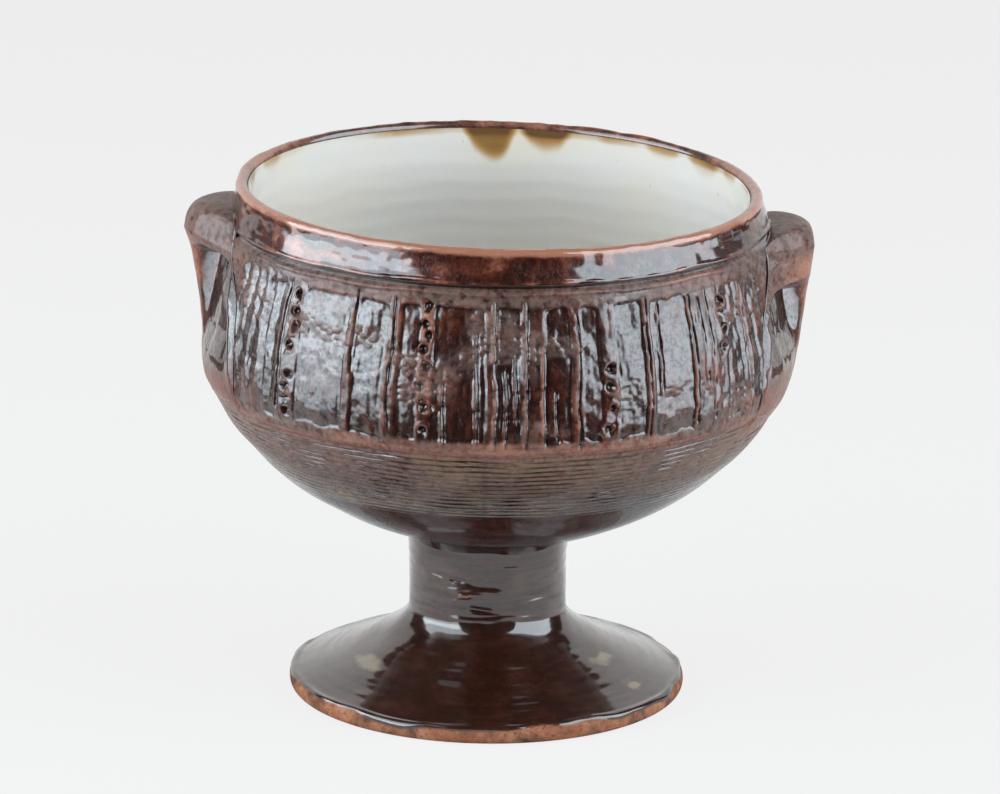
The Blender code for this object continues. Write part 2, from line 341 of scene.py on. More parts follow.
def buildGlazeGroup():
    look = glazeLook
    inputs = [(label, "Float", 0.0) for label in ("Relief", "Wear", "Ochre", "Matte")]
    outputs = [("Color", "Color"), ("Roughness", "Float"), ("Coat", "Float"), ("Height", "Float")]
    tree, entry, leave = newTree("glazeBreak", "ShaderNodeTree", inputs, outputs)
    place = objectPlace(tree)
    places = dict.fromkeys(glazeNoise, place)
    places["drip"] = stretched(tree, place, 0.25)
    noise = {key: noiseNode(tree, places[key], *values) for key, values in glazeNoise.items()}
    relief = mathNode(tree, "ADD", entry["Relief"], entry["Wear"])
    uneven = sway(tree, noise["grain"], 0.9, relief)
    uneven = sway(tree, noise["mottle"], 0.5, uneven)
    thin = rangeNode(tree, uneven, look["breakLow"], look["breakHigh"])
    cloud = timesPlus(tree, noise["drip"], 0.4, times(tree, noise["blister"], 0.6))
    pooled = rangeNode(tree, timesPlus(tree, relief, 0.25, cloud), 0.42, 0.70)
    satin = times(tree, entry["Matte"], rangeNode(tree, noise["pucker"], 0.25, 0.60))
    ochre = times(tree, entry["Ochre"], rangeNode(tree, noise["mottle"], 0.38, 0.60))
    colour = mixColour(tree, pooled, look["deep"], look["body"])
    colour = mixColour(tree, times(tree, thin, look["rustShare"]), colour, look["rust"])
    colour = mixColour(tree, times(tree, satin, look["greyShare"]), colour, look["grey"])
    colour = mixColour(tree, ochre, colour, look["ochre"])
    dull = rangeNode(tree, timesPlus(tree, entry["Matte"], 0.6, uneven), 0.0, 0.60)
    shine = timesPlus(tree, dull, -look["dullLoss"], 1.0)
    spotty = timesPlus(tree, noise["grain"], 0.6, times(tree, noise["blister"], 0.5))
    patchy = rangeNode(tree, spotty, 0.40, 0.62, 0.55, 1.0)
    height = times(tree, noise["peel"], 0.16)
    for key, share in (("grain", 0.30), ("pucker", 0.5), ("blister", 0.4), ("drip", 0.25)):
        height = timesPlus(tree, noise[key], share, height)
    rough = timesPlus(tree, dull, look["dullRough"], look["leastRough"])
    coat = times(tree, shine, patchy)
    feed(tree, leave, {"Color": colour, "Roughness": rough, "Coat": coat, "Height": height})
    return tree


glazeGroup = buildGlazeGroup()


def glazeNodes(tree):
    relief = mathNode(tree, "ADD", attribute(tree, "relief"), attribute(tree, "ringLift"))
    inputs = {label: attribute(tree, label.lower()) for label in ("Wear", "Ochre", "Matte")}
    return addNode(tree, "ShaderNodeGroup", {"Relief": relief, **inputs}, node_tree=glazeGroup).outputs


def glossyCoat(bend, blur, weight=1.0):
    return {"IOR": 1.5, "Specular IOR Level": 0.15,
            "Coat Weight": weight, "Coat Roughness": blur, "Coat IOR": bend}


def makeIronGlaze(name, blur, leastCoat=0.0, plainGloss=1.0):
    material, tree, shader = newMaterial(name)
    glaze = glazeNodes(tree)
    gloss = mathNode(tree, "MAXIMUM", glaze["Coat"], leastCoat)
    if plainGloss < 1.0:
        # less gloss where no rings are cut
        gloss = times(tree, gloss, rangeNode(tree, attribute(tree, "ringMask"), 0.0, 0.5, plainGloss, 1.0))
    normal = bumpFrom(tree, glaze["Height"], glazeLook["bumpStrength"], glazeLook["bumpDeep"])
    feed(tree, shader, {"Base Color": glaze["Color"], "Roughness": glaze["Roughness"], "Normal": normal,
                        **glossyCoat(glazeLook["coatBend"], blur, gloss)})
    return material


# glaze of the foot, and the bare clay of its edge where the glaze stops
clayLook = dict(clay=(0.25, 0.090, 0.046), dark=(0.085, 0.038, 0.025), pale=(0.37, 0.165, 0.088),
                brown=(0.018, 0.009, 0.006), tan=(0.17, 0.135, 0.080), red=(0.046, 0.014, 0.008),
                brownShare=0.30, bareRough=0.55, leastCoat=0.92, coatBend=1.85, coatBlur=0.09)


def makeFootGlaze():
    look = clayLook
    material, tree, shader = newMaterial("footGlaze")
    glaze = glazeNodes(tree)
    place = objectPlace(tree)
    sand = noiseNode(tree, place, 1100.0, 3.0, 0.6)
    cloud = noiseNode(tree, place, 130.0, 4.0, 0.65)
    scorch = noiseNode(tree, place, 75.0, 4.0, 0.7)
    streak = noiseNode(tree, stretched(tree, place, 3.0), 110.0, 5.0, 0.7)
    bare = attribute(tree, "bare")
    clay = blendBy(tree, cloud, 0.35, 0.65, look["clay"], look["pale"])
    clay = blendBy(tree, sand, 0.55, 0.70, clay, look["dark"])
    clay = blendBy(tree, scorch, 0.42, 0.66, clay, look["dark"])
    brown = mixColour(tree, look["brownShare"], glaze["Color"], look["brown"])
    brown = blendBy(tree, streak, 0.42, 0.78, brown, look["red"])
    brown = mixColour(tree, attribute(tree, "ochre"), brown, look["tan"])
    rough = timesPlus(tree, bare, look["bareRough"], glaze["Roughness"])
    height = timesPlus(tree, times(tree, sand, bare), 1.2, glaze["Height"])
    gloss = mathNode(tree, "MAXIMUM", glaze["Coat"], look["leastCoat"])
    gloss = times(tree, gloss, mathNode(tree, "SUBTRACT", 1.0, bare))
    feed(tree, shader, {"Base Color": mixColour(tree, bare, brown, clay), "Roughness": rough,
                        "Normal": bumpFrom(tree, height, 0.4, 0.3 * mm),
                        **glossyCoat(look["coatBend"], look["coatBlur"], gloss)})
    return material


# white liner glaze with iron specks and amber runs
linerLook = dict(white=(0.680, 0.656, 0.622), warm=(0.70, 0.635, 0.49), amber=(0.38, 0.21, 0.057),
                 umber=(0.12, 0.057, 0.018), speck=(0.14, 0.10, 0.07), cloudShare=0.35, rough=0.22)


def makeLinerGlaze():
    look = linerLook
    material, tree, shader = newMaterial("linerGlaze")
    place = objectPlace(tree)
    cloud = noiseNode(tree, place, 35.0, 4.0, 0.55)
    fine = noiseNode(tree, place, 500.0, 2.0, 0.5)
    edge = sway(tree, cloud, 0.5, attribute(tree, "amber"))
    colour = blendBy(tree, cloud, 0.35, 0.70, look["white"], look["warm"])
    colour = mixColour(tree, look["cloudShare"], look["white"], colour)
    colour = blendBy(tree, attribute(tree, "blush"), 0.0, 1.0, colour, look["warm"])
    colour = blendBy(tree, edge, 0.15, 1.00, colour, look["amber"])
    colour = blendBy(tree, edge, 0.80, 1.45, colour, look["umber"])
    colour = blendBy(tree, attribute(tree, "speck"), 0.35, 0.75, colour, look["speck"])
    feed(tree, shader, {"Base Color": colour, "Roughness": look["rough"],
                        "Normal": bumpFrom(tree, fine, 0.12, 0.2 * mm), **glossyCoat(1.5, 0.12)})
    return material


ironGlaze = makeIronGlaze("ironGlaze", 0.20)
rimGlaze = makeIronGlaze("rimGlaze", 0.12, leastCoat=0.85)
bellyGlaze = makeIronGlaze("bellyGlaze", 0.09, plainGloss=0.5)
lugGlaze = makeIronGlaze("lugGlaze", 0.08)
footGlaze = makeFootGlaze()
linerGlaze = makeLinerGlaze()
print("materials ready")


# bowl outline, the same curves as the solid
bowlShape = dict(rimRadius=78.3, shoulderRadius=80.9, shoulderDrop=10.6, widestHeight=104.0,
                 ledgeHeight=97.0, baseRadius=26.4, baseSlope=14.0, baseReach=44.0,
                 bellyReach=12.0, bandReach=15.0, shoulderLean=12.0, lip=3.5)
grooveHeight = rimHeight - bowlShape["shoulderDrop"]
ledgeHeight = bowlShape["ledgeHeight"]


def bowlCurves():
    b = bowlShape
    lean = radians(b["shoulderLean"])
    slope = radians(b["baseSlope"])
    reach = b["bandReach"]
    shoulder = (b["shoulderRadius"], grooveHeight)
    shoulderHandle = (shoulder[0] + reach * sin(lean), grooveHeight - reach * cos(lean))
    widest = (widestRadius, b["widestHeight"])
    upper = bezier(shoulder, shoulderHandle, (widestRadius, widest[1] + reach), widest, 60)
    base = (b["baseRadius"], baseHeight)
    baseHandle = (base[0] + b["baseReach"] * cos(slope), baseHeight + b["baseReach"] * sin(slope))
    lower = bezier(widest, (widestRadius, widest[1] - b["bellyReach"]), baseHandle, base, 120)
    return upper, lower


upperWall, lowerWall = bowlCurves()
outerLine = np.concatenate([[(bowlShape["rimRadius"], rimHeight)], upperWall, lowerWall[1:]])


def wallRadius(height):
    return np.interp(height, outerLine[::-1, 1], outerLine[::-1, 0])


# hand-thrown unevenness of the rim: left and back stand higher than right and front
rimWobble = dict(side=-1.3, back=0.9, ripple=0.25)


def lifted(angle, height):
    lift = rimWobble["side"] * np.sin(angle) + rimWobble["back"] * (1.0 - np.cos(angle))
    lift = lift + rimWobble["ripple"] * clayNoise(angle, 0.5, 9, 1, 5)
    return height + lift * softStep(grooveHeight - 2, rimHeight, height)


# incised shoulder line with a thrown-up edge on each side
groove = dict(depth=1.2, halfWidth=0.65, edge=0.35, edgeAway=1.45, edgeHalf=0.55,
              wander=0.35)


def grooveCut(angle, height):
    away = height - grooveHeight
    wander = groove["wander"] * clayNoise(angle, 0.0, 40, 1, 11)
    away = away - wander * softStep(0.4, 1.5, np.abs(away))
    rough = 1.0 + 0.5 * clayNoise(angle, 0.5, 150, 1, 12)
    edges = sum(bump(away + side * groove["edgeAway"], groove["edgeHalf"]) for side in (-1, 1))
    return groove["edge"] * rough * edges - groove["depth"] * bump(away, groove["halfWidth"])


# bowl rim and lip; rows are counted from the inside over the lip
rimLook = dict(
    columns=900, insideDeep=8, lipRow=14, grooveRow=24, lipWear=0.95, backLoss=0.55, leastWear=-0.04,
    lumps=((0.22, 50, 3, 21), (0.10, 160, 7, 22)), patches=((0.30, 34, 3, 24), (0.24, 150, 2, 25)),
    rust=0.27, rustLow=8.5, rustHigh=4.5, ragged=((2.2, 40, 1, 26), (1.0, 130, 1, 27)), lipMatte=0.35)


def makeRim():
    look = rimLook
    lip = bowlShape["lip"]
    outer = bowlShape["rimRadius"]
    shoulder = bowlShape["shoulderRadius"]
    centre = (outer - lip / 2, rimHeight - lip / 2)
    inside = [(outer - lip, rimHeight - look["insideDeep"]), (outer - lip, centre[1])]
    turn = np.radians(np.linspace(180, 0, 22))
    arc = np.stack([centre[0] + lip / 2 * np.cos(turn), centre[1] + lip / 2 * np.sin(turn)], 1)
    band = bezier((outer, centre[1]), (outer, centre[1] - 3), (shoulder - 0.9, grooveHeight + 3),
                  (shoulder, grooveHeight), 40)
    profile = np.concatenate([resample(inside, 6)[:-1], arc, resample(band, 44)[1:]])
    row = np.arange(len(profile))[:, None]
    angle = angleGrid(look["columns"], len(profile))
    level = profile[:, 1:]
    up = (level - grooveHeight) / (rimHeight - grooveHeight)
    outside = (row > look["lipRow"]) * softStep(grooveHeight, grooveHeight + 1, level)
    relief = clayLayers(angle, up, *look["lumps"]) * outside
    relief = relief + grooveCut(angle, level) * (row > look["grooveRow"])
    radius, height = pushedOut(profile, relief)
    height = height - level + lifted(angle, level)
    lipTop = softStep(rimHeight - 2.6, rimHeight - 0.6, level)
    back = softStep(95.0, 150.0, np.abs(turnFrom(angle, 0.0)))
    wear = (look["lipWear"] - look["backLoss"] * back) * lipTop + look["leastWear"]
    wear = wear + clayLayers(angle, up, *look["patches"])
    # more rust below the lip, with a ragged lower edge
    ragged = level + clayLayers(angle, 0.0, *look["ragged"])
    rust = softStep(rimHeight - look["rustLow"], rimHeight - look["rustHigh"], ragged)
    wear = wear + look["rust"] * rust * outside
    values = {"relief": relief, "wear": wear, "ochre": 0.0, "matte": look["lipMatte"] * lipTop}
    return turnedPiece("bowlRim", radius + outOfRound(angle), height, angle, rimGlaze, values)


# carved wall, by degrees from the front and height: scraped panels, scored lines, pierced dots and flutes
panelEnds = dict(low=100.0, high=139.3, corner=2.2)
panels = named(
    "angle width depth",
    (-50.0, 4.6, 0.55), (-36.5, 11.5, 0.45), (-25.7, 7.0, 0.50), (-17.4, 4.6, 0.55), (-7.3, 11.0, 0.60),
    (2.6, 4.6, 0.50), (11.8, 5.4, 0.65), (18.4, 4.2, 0.55), (26.6, 6.4, 0.50), (36.0, 9.5, 0.45),
    (53.0, 5.6, 0.45))
scores = named(
    "angle low high rise",
    (-21.5, 104, 141), (-30.0, 118, 142), (-47.2, 102, 141, 0.4), (57.0, 101, 138), (-4.0, 100, 132),
    (-0.5, 99, 141), (5.5, 99, 141), (8.8, 100, 128), (15.2, 98, 137), (29.8, 100, 140), (40.8, 101, 139),
    (45.6, 101, 140), (33.0, 112, 138), (-10.5, 99, 118), (1.5, 99, 122), (3.4, 106, 126), (11.0, 100, 116),
    (43.4, 112, 138))
dotColumns = named(
    "angle heights",
    (-44.2, (136.5, 131.5, 127.5, 122.0, 113.8, 110.2, 106.4, 103.0)),
    (-14.1, (139.0, 133.8, 130.6, 127.0, 121.8, 116.3, 110.5, 103.8)),
    (22.1, (121.0, 115.8, 109.5, 103.5)), (50.2, (134.5, 131.0, 126.5, 121.5)))
flutes = named(
    "angle half depth low high",
    (-49.4, 0.9, 0.75, 103, 140), (-52.6, 0.8, 0.85, 101, 139), (-55.6, 0.9, 0.80, 105, 141),
    (-59.2, 1.1, 0.90, 103, 141), (-63.4, 1.2, 0.80, 108, 141), (60.5, 1.0, 0.5, 104, 139),
    (65.0, 1.2, 0.6, 106, 140), (119.0, 1.1, 0.7, 104, 140), (124.0, 1.0, 0.7, 102, 139),
    (-119.0, 1.1, 0.7, 104, 140))
backScores = 15


def carveBack():
    # the side that the photograph doesn't show goes on in the same manner
    rng = np.random.default_rng(31)
    panels.extend([dict(p, angle=p["angle"] + 180.0) for p in panels])
    for s in scores[:backScores]:
        turned = s["angle"] + 180.0 + rng.uniform(-0.6, 0.6)
        scores.append(dict(s, angle=turned, low=rng.uniform(98, 106), high=rng.uniform(128, 141)))
    for c in dotColumns[:]:
        heights = np.arange(rng.uniform(102, 106), rng.uniform(122, 140), rng.uniform(4.6, 6.2))
        dotColumns.append(dict(angle=c["angle"] + 180.0, heights=tuple(heights)))


carveBack()
scoreLook = dict(rise=0.50, half=0.36, cut=1.1, cutAway=0.9, cutHalf=0.40)
dotLook = dict(pit=1.7, pitRadius=1.25, burr=0.42, burrRadius=1.9, burrHalf=0.6)


def dotSway(k):
    # the dots of a column don't stand quite above each other
    return 0.5 * sin(2.7 * k)


def scuffed(angle, up):
    # patches where the scraping left the surface torn and dull
    return softStep(0.10, 0.55, clayLayers(angle, up, (1.0, 26, 6, 38), (0.35, 90, 16, 37)))


wallLook = dict(columns=1700, crest=0.65, pool=1.8, wander=((0.45, 50, 3, 41), (0.14, 140, 14, 42)),
                texture=((0.10, 425, 8, 44), (0.08, 240, 14, 45), (0.26, 110, 10, 46), (0.10, 250, 24, 47),
                         (0.04, 560, 47, 54)), chatter=0.10, torn=0.30)


def carving(angle, high):
    up = unit((high - 97.0) / 47.0)
    band = softSpan(high, 97.6, 99.4, 140.4, 142.2)
    wander = clayLayers(angle, up, *wallLook["wander"])
    frayed = 1.2 * clayNoise(angle, 0.0, 110, 1, 40) + 0.6 * clayNoise(angle, up, 260, 14, 56)
    relief = 0.0 * angle
    corner = panelEnds["corner"]
    for p in panels:
        across = 1.5 * (np.abs(turnFrom(angle, p["angle"]) + 0.8 * wander) - p["width"] / 2)
        lower = panelEnds["low"] + frayed - high
        upper = high - panelEnds["high"] - 0.4 * frayed
        rounded = np.hypot(np.maximum(across + corner, 0.0), np.maximum(upper + corner, 0.0)) - corner
        outside = np.maximum(np.maximum(across, rounded), lower)
        relief -= p["depth"] * softFall(-0.9, 0.35, outside)
    broken = np.clip(0.66 + clayLayers(angle, up, (0.75, 24, 18, 43), (0.5, 90, 44, 53)), 0.0, 1.4)
    for s in scores:
        away = (turnFrom(angle, s["angle"]) + 1.1 * wander) * arcPerDegree
        span = softSpan(high, s["low"] - 1.0, s["low"] + 1.5, s["high"] - 1.5, s["high"] + 0.5)
        rise = s.get("rise", scoreLook["rise"]) * span
        relief += rise * broken * bump(away, scoreLook["half"])
        cut = scoreLook["cut"] * rise * (1.3 - 0.6 * broken)
        relief -= cut * bump(away - scoreLook["cutAway"], scoreLook["cutHalf"])
    uneven = 0.8 + 0.5 * clayNoise(angle, up, 20, 7, 58)
    for f in flutes:
        away = turnFrom(angle, f["angle"]) + 1.3 * wander
        span = softSpan(high, f["low"] - 3.0, f["low"] + 3.0, f["high"] - 2.0, f["high"] + 1.0)
        relief -= f["depth"] * span * uneven * bump(away, f["half"])
    chatter = np.clip(clayNoise(angle, up, 210, 34, 49), -0.2, 1.0)
    chatter = wallLook["chatter"] * chatter * softStep(-0.1, 0.5, clayNoise(angle, up, 26, 7, 50))
    chatter += wallLook["torn"] * scuffed(angle, up) * clayNoise(angle, up, 380, 52, 39)
    relief += band * (clayLayers(angle, up, *wallLook["texture"]) + chatter)
    relief *= band
    ragged = 1.0 + 0.30 * clayNoise(angle, up, 330, 30, 52)
    for c in dotColumns:
        for k, h in enumerate(c["heights"]):
            across = (turnFrom(angle, c["angle"]) + dotSway(k)) * arcPerDegree
            above = high - h
            far = np.hypot(across * (1.0 + 0.25 * sin(3.9 * k)), above) * ragged
            way = np.arctan2(above, across)
            pushed = dotLook["burr"] * (0.5 + 0.7 * np.cos(way - 2.3 * k - c["angle"]))
            relief += pushed * bump(far - dotLook["burrRadius"], dotLook["burrHalf"])
            relief -= dotLook["pit"] * bump(far, dotLook["pitRadius"])
    return relief


def ledgeRidge(angle, height):
    # clay pushed up along the lower edge of the carved band
    return 0.22 * bump(height - 97.8, 0.7) * (0.7 + 0.6 * clayNoise(angle, 0.0, 90, 1, 48))


def fromLug(angle):
    return np.minimum(np.abs(turnFrom(angle, 90.0)), np.abs(turnFrom(angle, -90.0)))


def lugShade(angle):
    # carving fades out under the lugs
    return softFall(13.0, 23.0, fromLug(angle))


# the thumb's hollow on each side of both lugs, in the wall and in the lug
scoopLook = dict(depth=2.3, top=150.0, lipNear=14.0, lipSpread=31.0, lipFall=18.0)


def lugLip(drop):
    # how far from its ridge the thumb smeared each lug
    return scoopLook["lipNear"] + scoopLook["lipSpread"] * (1.0 - np.exp(-drop / scoopLook["lipFall"]))


def lugScoop(angle, height):
    away = np.radians(fromLug(angle)) * widestRadius
    drop = scoopLook["top"] - height
    tall = softSpan(drop, 9.0, 14.0, 32.0, 44.0)
    wide = softStep(4.0, 9.5, away) * softFall(-6.0, -1.0, away - lugLip(drop))
    return scoopLook["depth"] * tall * wide


def makeWall():
    fineEnd = grooveHeight - 3.5
    fine = np.linspace(grooveHeight, fineEnd, 15)
    coarse = np.linspace(fineEnd, ledgeHeight, 102)[1:]
    height = np.concatenate([fine, coarse])[:, None]
    columns = wallLook["columns"]
    angle = angleGrid(columns, len(height))
    up = (height - ledgeHeight) / (grooveHeight - ledgeHeight)
    shade = lugShade(angle)
    torn = scuffed(angle, up)
    carved = carving(angle, height) * (1.0 - shade)
    relief = carved + grooveCut(angle, height) + ledgeRidge(angle, height)
    radius = wallRadius(height) + relief - lugScoop(angle, height) + outOfRound(angle)
    # glaze breaks to rust on crests and pools dark beside them
    edge = relief - blurred(relief, 3, 6)
    edge = wallLook["crest"] * np.maximum(edge, 0.0) + wallLook["pool"] * np.minimum(edge, 0.0)
    lowEdge = bump(height - 98.0, 1.6)
    wear = 0.06 + 0.22 * clayNoise(angle, up, 40, 5, 51) + 0.10 * lowEdge + 0.12 * torn
    wear -= 0.30 * shade * softStep(106, 118, height)
    wear -= 0.28 * bump(turnFrom(angle, -57.0), 11.0) * softStep(102, 108, height)
    # rust and grey patches above and below the panels
    margin = softFall(99.5, 101.5, height) + softStep(138.5, 140.0, height)
    wear += margin * (0.50 * softStep(-0.3, 0.5, clayNoise(angle, up, 16, 3, 55)) - 0.12)
    matte = unit(0.15 + 0.8 * carved + 0.75 * margin) * (1.0 - 0.7 * shade) + 0.7 * torn
    values = {"relief": 0.25 * relief + edge, "wear": wear, "ochre": 0.0 * wear,
              "matte": unit(matte)}
    tall = lifted(angle, height)
    pieces = []
    for name, first in (("bowlWallFront", -columns // 4), ("bowlWallBack", columns // 4)):
        half = np.arange(first, first + columns // 2 + 1) % columns
        share = {key: value[:, half] for key, value in values.items()}
        form = (grid[:, half] for grid in (radius, tall, angle))
        pieces.append(turnedPiece(name, *form, ironGlaze, share, closed=False))
    return pieces


# combed and thrown rings, one tree for belly, liner and pedestal
ringLook = dict(Spacing=2.0 * mm, Depth=0.2 * mm, Sharpness=1.0, Spiral=1.0, Seed=0.0, Broken=1.0)


def storedValue(tree, name, kind="FLOAT"):
    return made(tree, "GeometryNodeInputNamedAttribute", {"Name": name}, data_type=kind)


def painted(tree, geometry, clay):
    return made(tree, "GeometryNodeSetMaterial", {"Geometry": geometry, "Material": clay})


def buildRingTree():
    inputs = [("Geometry", "Geometry", None), ("Clay", "Material", None)]
    inputs += [(label, "Float", value) for label, value in ringLook.items()]
    tree, entry, leave = newTree("throwingRings", "GeometryNodeTree", inputs, [("Geometry", "Geometry")])
    place = made(tree, "GeometryNodeInputPosition")
    noise = []
    for scale in (45.0, 110.0):
        seeded = {"Vector": place, "W": entry["Seed"], "Scale": scale}
        noise.append(made(tree, "ShaderNodeTexNoise", seeded, noise_dimensions="4D"))
    split = addNode(tree, "ShaderNodeSeparateXYZ", {0: place}).outputs
    turn = mathNode(tree, "DIVIDE", mathNode(tree, "ARCTAN2", split[1], split[0]), tau)
    laps = mathNode(tree, "DIVIDE", storedValue(tree, "along"), entry["Spacing"])
    laps = timesPlus(tree, turn, entry["Spiral"], laps)
    laps = timesPlus(tree, noise[0], 1.3, laps)
    wave = timesPlus(tree, mathNode(tree, "COSINE", times(tree, laps, tau)), 0.5, 0.5)
    wave = mathNode(tree, "POWER", wave, entry["Sharpness"])
    strength = timesPlus(tree, noise[1], 2.4, -1.5)
    strength = timesPlus(tree, strength, entry["Broken"], 1.0)
    lift = times(tree, times(tree, wave, strength), storedValue(tree, "ringMask"))
    lift = times(tree, lift, entry["Depth"])
    normal = made(tree, "GeometryNodeInputNormal")
    offset = made(tree, "ShaderNodeVectorMath", {0: normal, "Scale": lift}, operation="SCALE")
    kept = {"Geometry": entry["Geometry"], "Name": "ringLift", "Value": mathNode(tree, "DIVIDE", lift, mm)}
    store = made(tree, "GeometryNodeStoreNamedAttribute", kept, data_type="FLOAT", domain="POINT")
    shift = made(tree, "GeometryNodeSetPosition", {"Geometry": store, "Offset": offset})
    whole = made(tree, "GeometryNodeRealizeInstances", {0: shift})
    feed(tree, leave, {0: painted(tree, whole, entry["Clay"])})
    return tree


ringTree = buildRingTree()


def runTree(piece, tree, **inputs):
    modifier = piece.modifiers.new(tree.name, "NODES")
    modifier.node_group = tree
    names = {item.name: item.identifier for item in tree.interface.items_tree if item.in_out == "INPUT"}
    for label, value in inputs.items():
        modifier[names[label]] = value
    solid = evaluatedMesh(piece)
    piece.modifiers.remove(modifier)
    piece.data = solid
    solid.name = piece.name
    return piece


# belly below the carved band: combed above, plain and glossy towards the stem
bellyLook = dict(
    columns=500, combLow=68.0, sink=0.35, lumps=0.25, ochreAt=-32.0, ochreWide=40.0,
    comb=dict(Spacing=2.0 * mm, Depth=-0.52 * mm, Sharpness=2.8, Spiral=1.0, Seed=3.0, Broken=0.95))


def makeBelly():
    look = bellyLook
    start = np.argmax(lowerWall[:, 1] < ledgeHeight)
    curve = np.concatenate([[(wallRadius(ledgeHeight), ledgeHeight)], lowerWall[start:]])
    combed = curve[curve[:, 1] > look["combLow"]]
    plain = curve[curve[:, 1] <= look["combLow"]]
    flat = [(bowlShape["baseRadius"] * share, baseHeight) for share in (0.75, 0.4, 0.0)]
    profile = np.concatenate([resample(combed, 165), resample(plain, 24), flat])
    along = lengthAlong(profile)[:, None]
    angle = angleGrid(look["columns"], len(profile))
    height = profile[:, 1:]
    up = (height - baseHeight) / (ledgeHeight - baseHeight)
    relief = look["lumps"] * clayNoise(angle, up, 12, 8, 61) * softStep(0.0, 3, along)
    relief = relief + ledgeRidge(angle, height) - look["sink"] * softStep(0.0, 2.0, along)
    relief = relief * softStep(baseHeight + 0.2, baseHeight + 3, height)
    wobble = outOfRound(angle) * softStep(75, 95, height)
    radius, height = pushedOut(profile, relief)
    radius = np.maximum(radius + wobble, 0.0)
    radius[-1] = 0.0
    ringMask = softStep(0.8, 2.5, along) * softStep(70.5, 76, height)
    dry = softStep(73, 90, height)
    ochre = ringMask * softStep(-0.25, 0.5, clayNoise(angle, up, 10, 4, 62))
    ochre = ochre * (0.35 + 0.65 * bump(turnFrom(angle, look["ochreAt"]), look["ochreWide"]))
    wear = 0.25 * bump(along - 0.2, 1.5) - 0.02 + 0.32 * dry
    matte = unit(ringMask * dry + 0.5 * bump(along, 3.0))
    values = {"relief": 0.0, "wear": wear, "ochre": ochre, "matte": matte,
              "along": along * mm, "ringMask": ringMask}
    piece = turnedPiece("bowlBelly", radius, height, angle, bellyGlaze, values)
    closePole(piece)
    runTree(piece, ringTree, Clay=bellyGlaze, **look["comb"])
    # ochre stays on the shoulders of the cut rings, the cuts hold dark wet glaze
    lift = readValues(piece, "ringLift")
    writeValues(piece, "ochre", readValues(piece, "ochre") * bump(lift + 0.10, 0.07))
    writeValues(piece, "matte", readValues(piece, "matte") * unit(1.0 + lift / 0.30))
    writeValues(piece, "relief", 1.2 * lift)
    return piece


# white liner with its runs, by degrees from the front and mm, and its specks
linerShape = dict(
    columns=600, floorUp=8.1, sideIn=6.1, floorReach=47, shoulderRadius=74.45,
    lipGap=0.20, specks=80, speckLow=75, speckHigh=150,
    rings=dict(Spacing=6.5 * mm, Depth=0.17 * mm, Sharpness=1.0, Spiral=1.0, Seed=8.0, Broken=0.9))
runs = named(
    "angle width length strength",
    (-177.4, 13.5, 10.0, 1.15), (169.4, 13.5, 8.3, 1.0), (150.0, 14.0, 4.5, 0.35), (138.0, 12.0, 6.0, 0.55),
    (124.0, 14.0, 7.0, 0.5), (111.0, 9.0, 6.0, 0.45), (-112.0, 12.0, 6.0, 0.40), (-98.0, 8.0, 7.0, 0.60),
    (30.0, 12.0, 7.0, 0.6), (-40.0, 14.0, 9.0, 0.8))


def makeLiner():
    look = linerShape
    floor = baseHeight + look["floorUp"]
    side = widestRadius - look["sideIn"]
    lip = bowlShape["lip"]
    widest = (side, bowlShape["widestHeight"])
    rise = bezier((0.0, floor), (look["floorReach"], floor), (side, 81), widest, 60)
    shoulder = look["shoulderRadius"]
    wall = bezier(rise[-1], (side, 119), (shoulder + 0.25, grooveHeight - 12), (shoulder, grooveHeight), 40)
    top = [(bowlShape["rimRadius"] - lip - look["lipGap"], rimHeight - lip / 2)]
    profile = resample(np.concatenate([rise, wall[1:], top]), 128)
    along = lengthAlong(profile)[:, None]
    angle = angleGrid(look["columns"], len(profile))
    height = profile[:, 1:]
    radius = profile[:, :1] + outOfRound(angle) * softStep(90, 120, height)
    radius[0] = 0.0
    depth = rimHeight - height
    up = unit(1.0 - depth / 40)
    amber = 0.80 * softFall(1.9, 4.8, depth) * (0.75 + 0.5 * clayNoise(angle, 0.0, 30, 1, 71))
    blush = 0.30 * softFall(3, 12, depth) * softStep(-0.5, 0.6, clayNoise(angle, 0.0, 9, 1, 72))
    wander = 0.6 * clayNoise(angle, up, 40, 6, 74)
    ragged = 0.14 * clayNoise(angle, 0.0, 60, 1, 75)
    for r in runs:
        across = np.abs(turnFrom(angle, r["angle"]) + wander) / (r["width"] / 2)
        tongue = r["length"] * (np.sqrt(unit(1.0 - across ** 2)) + ragged)
        amber += r["strength"] * softFall(-3.6, 2.6, depth - tongue) * softFall(0.5, 1.15, across)
        blush += 0.35 * r["strength"] * bump(across, 1.5) * softFall(2, 2.2 * r["length"], depth)
    rng = np.random.default_rng(73)
    turns = rng.uniform(0, tau, look["specks"])
    levels = rng.uniform(look["speckLow"], look["speckHigh"], look["specks"])
    sizes = rng.uniform(0.30, 0.65, look["specks"])
    speck = 0.0 * angle
    for turn, level, size in zip(turns, levels, sizes):
        speck += bump(np.hypot((angle - turn) * radius, height - level), size)
    ringMask = softStep(20, 50, along) * softStep(2, 9, depth)
    values = {"amber": amber, "blush": blush, "speck": speck, "along": along * mm, "ringMask": ringMask}
    piece = turnedPiece("linerCoat", radius, lifted(angle, height), angle, linerGlaze, values)
    closePole(piece)
    return runTree(piece, ringTree, Clay=linerGlaze, **look["rings"])


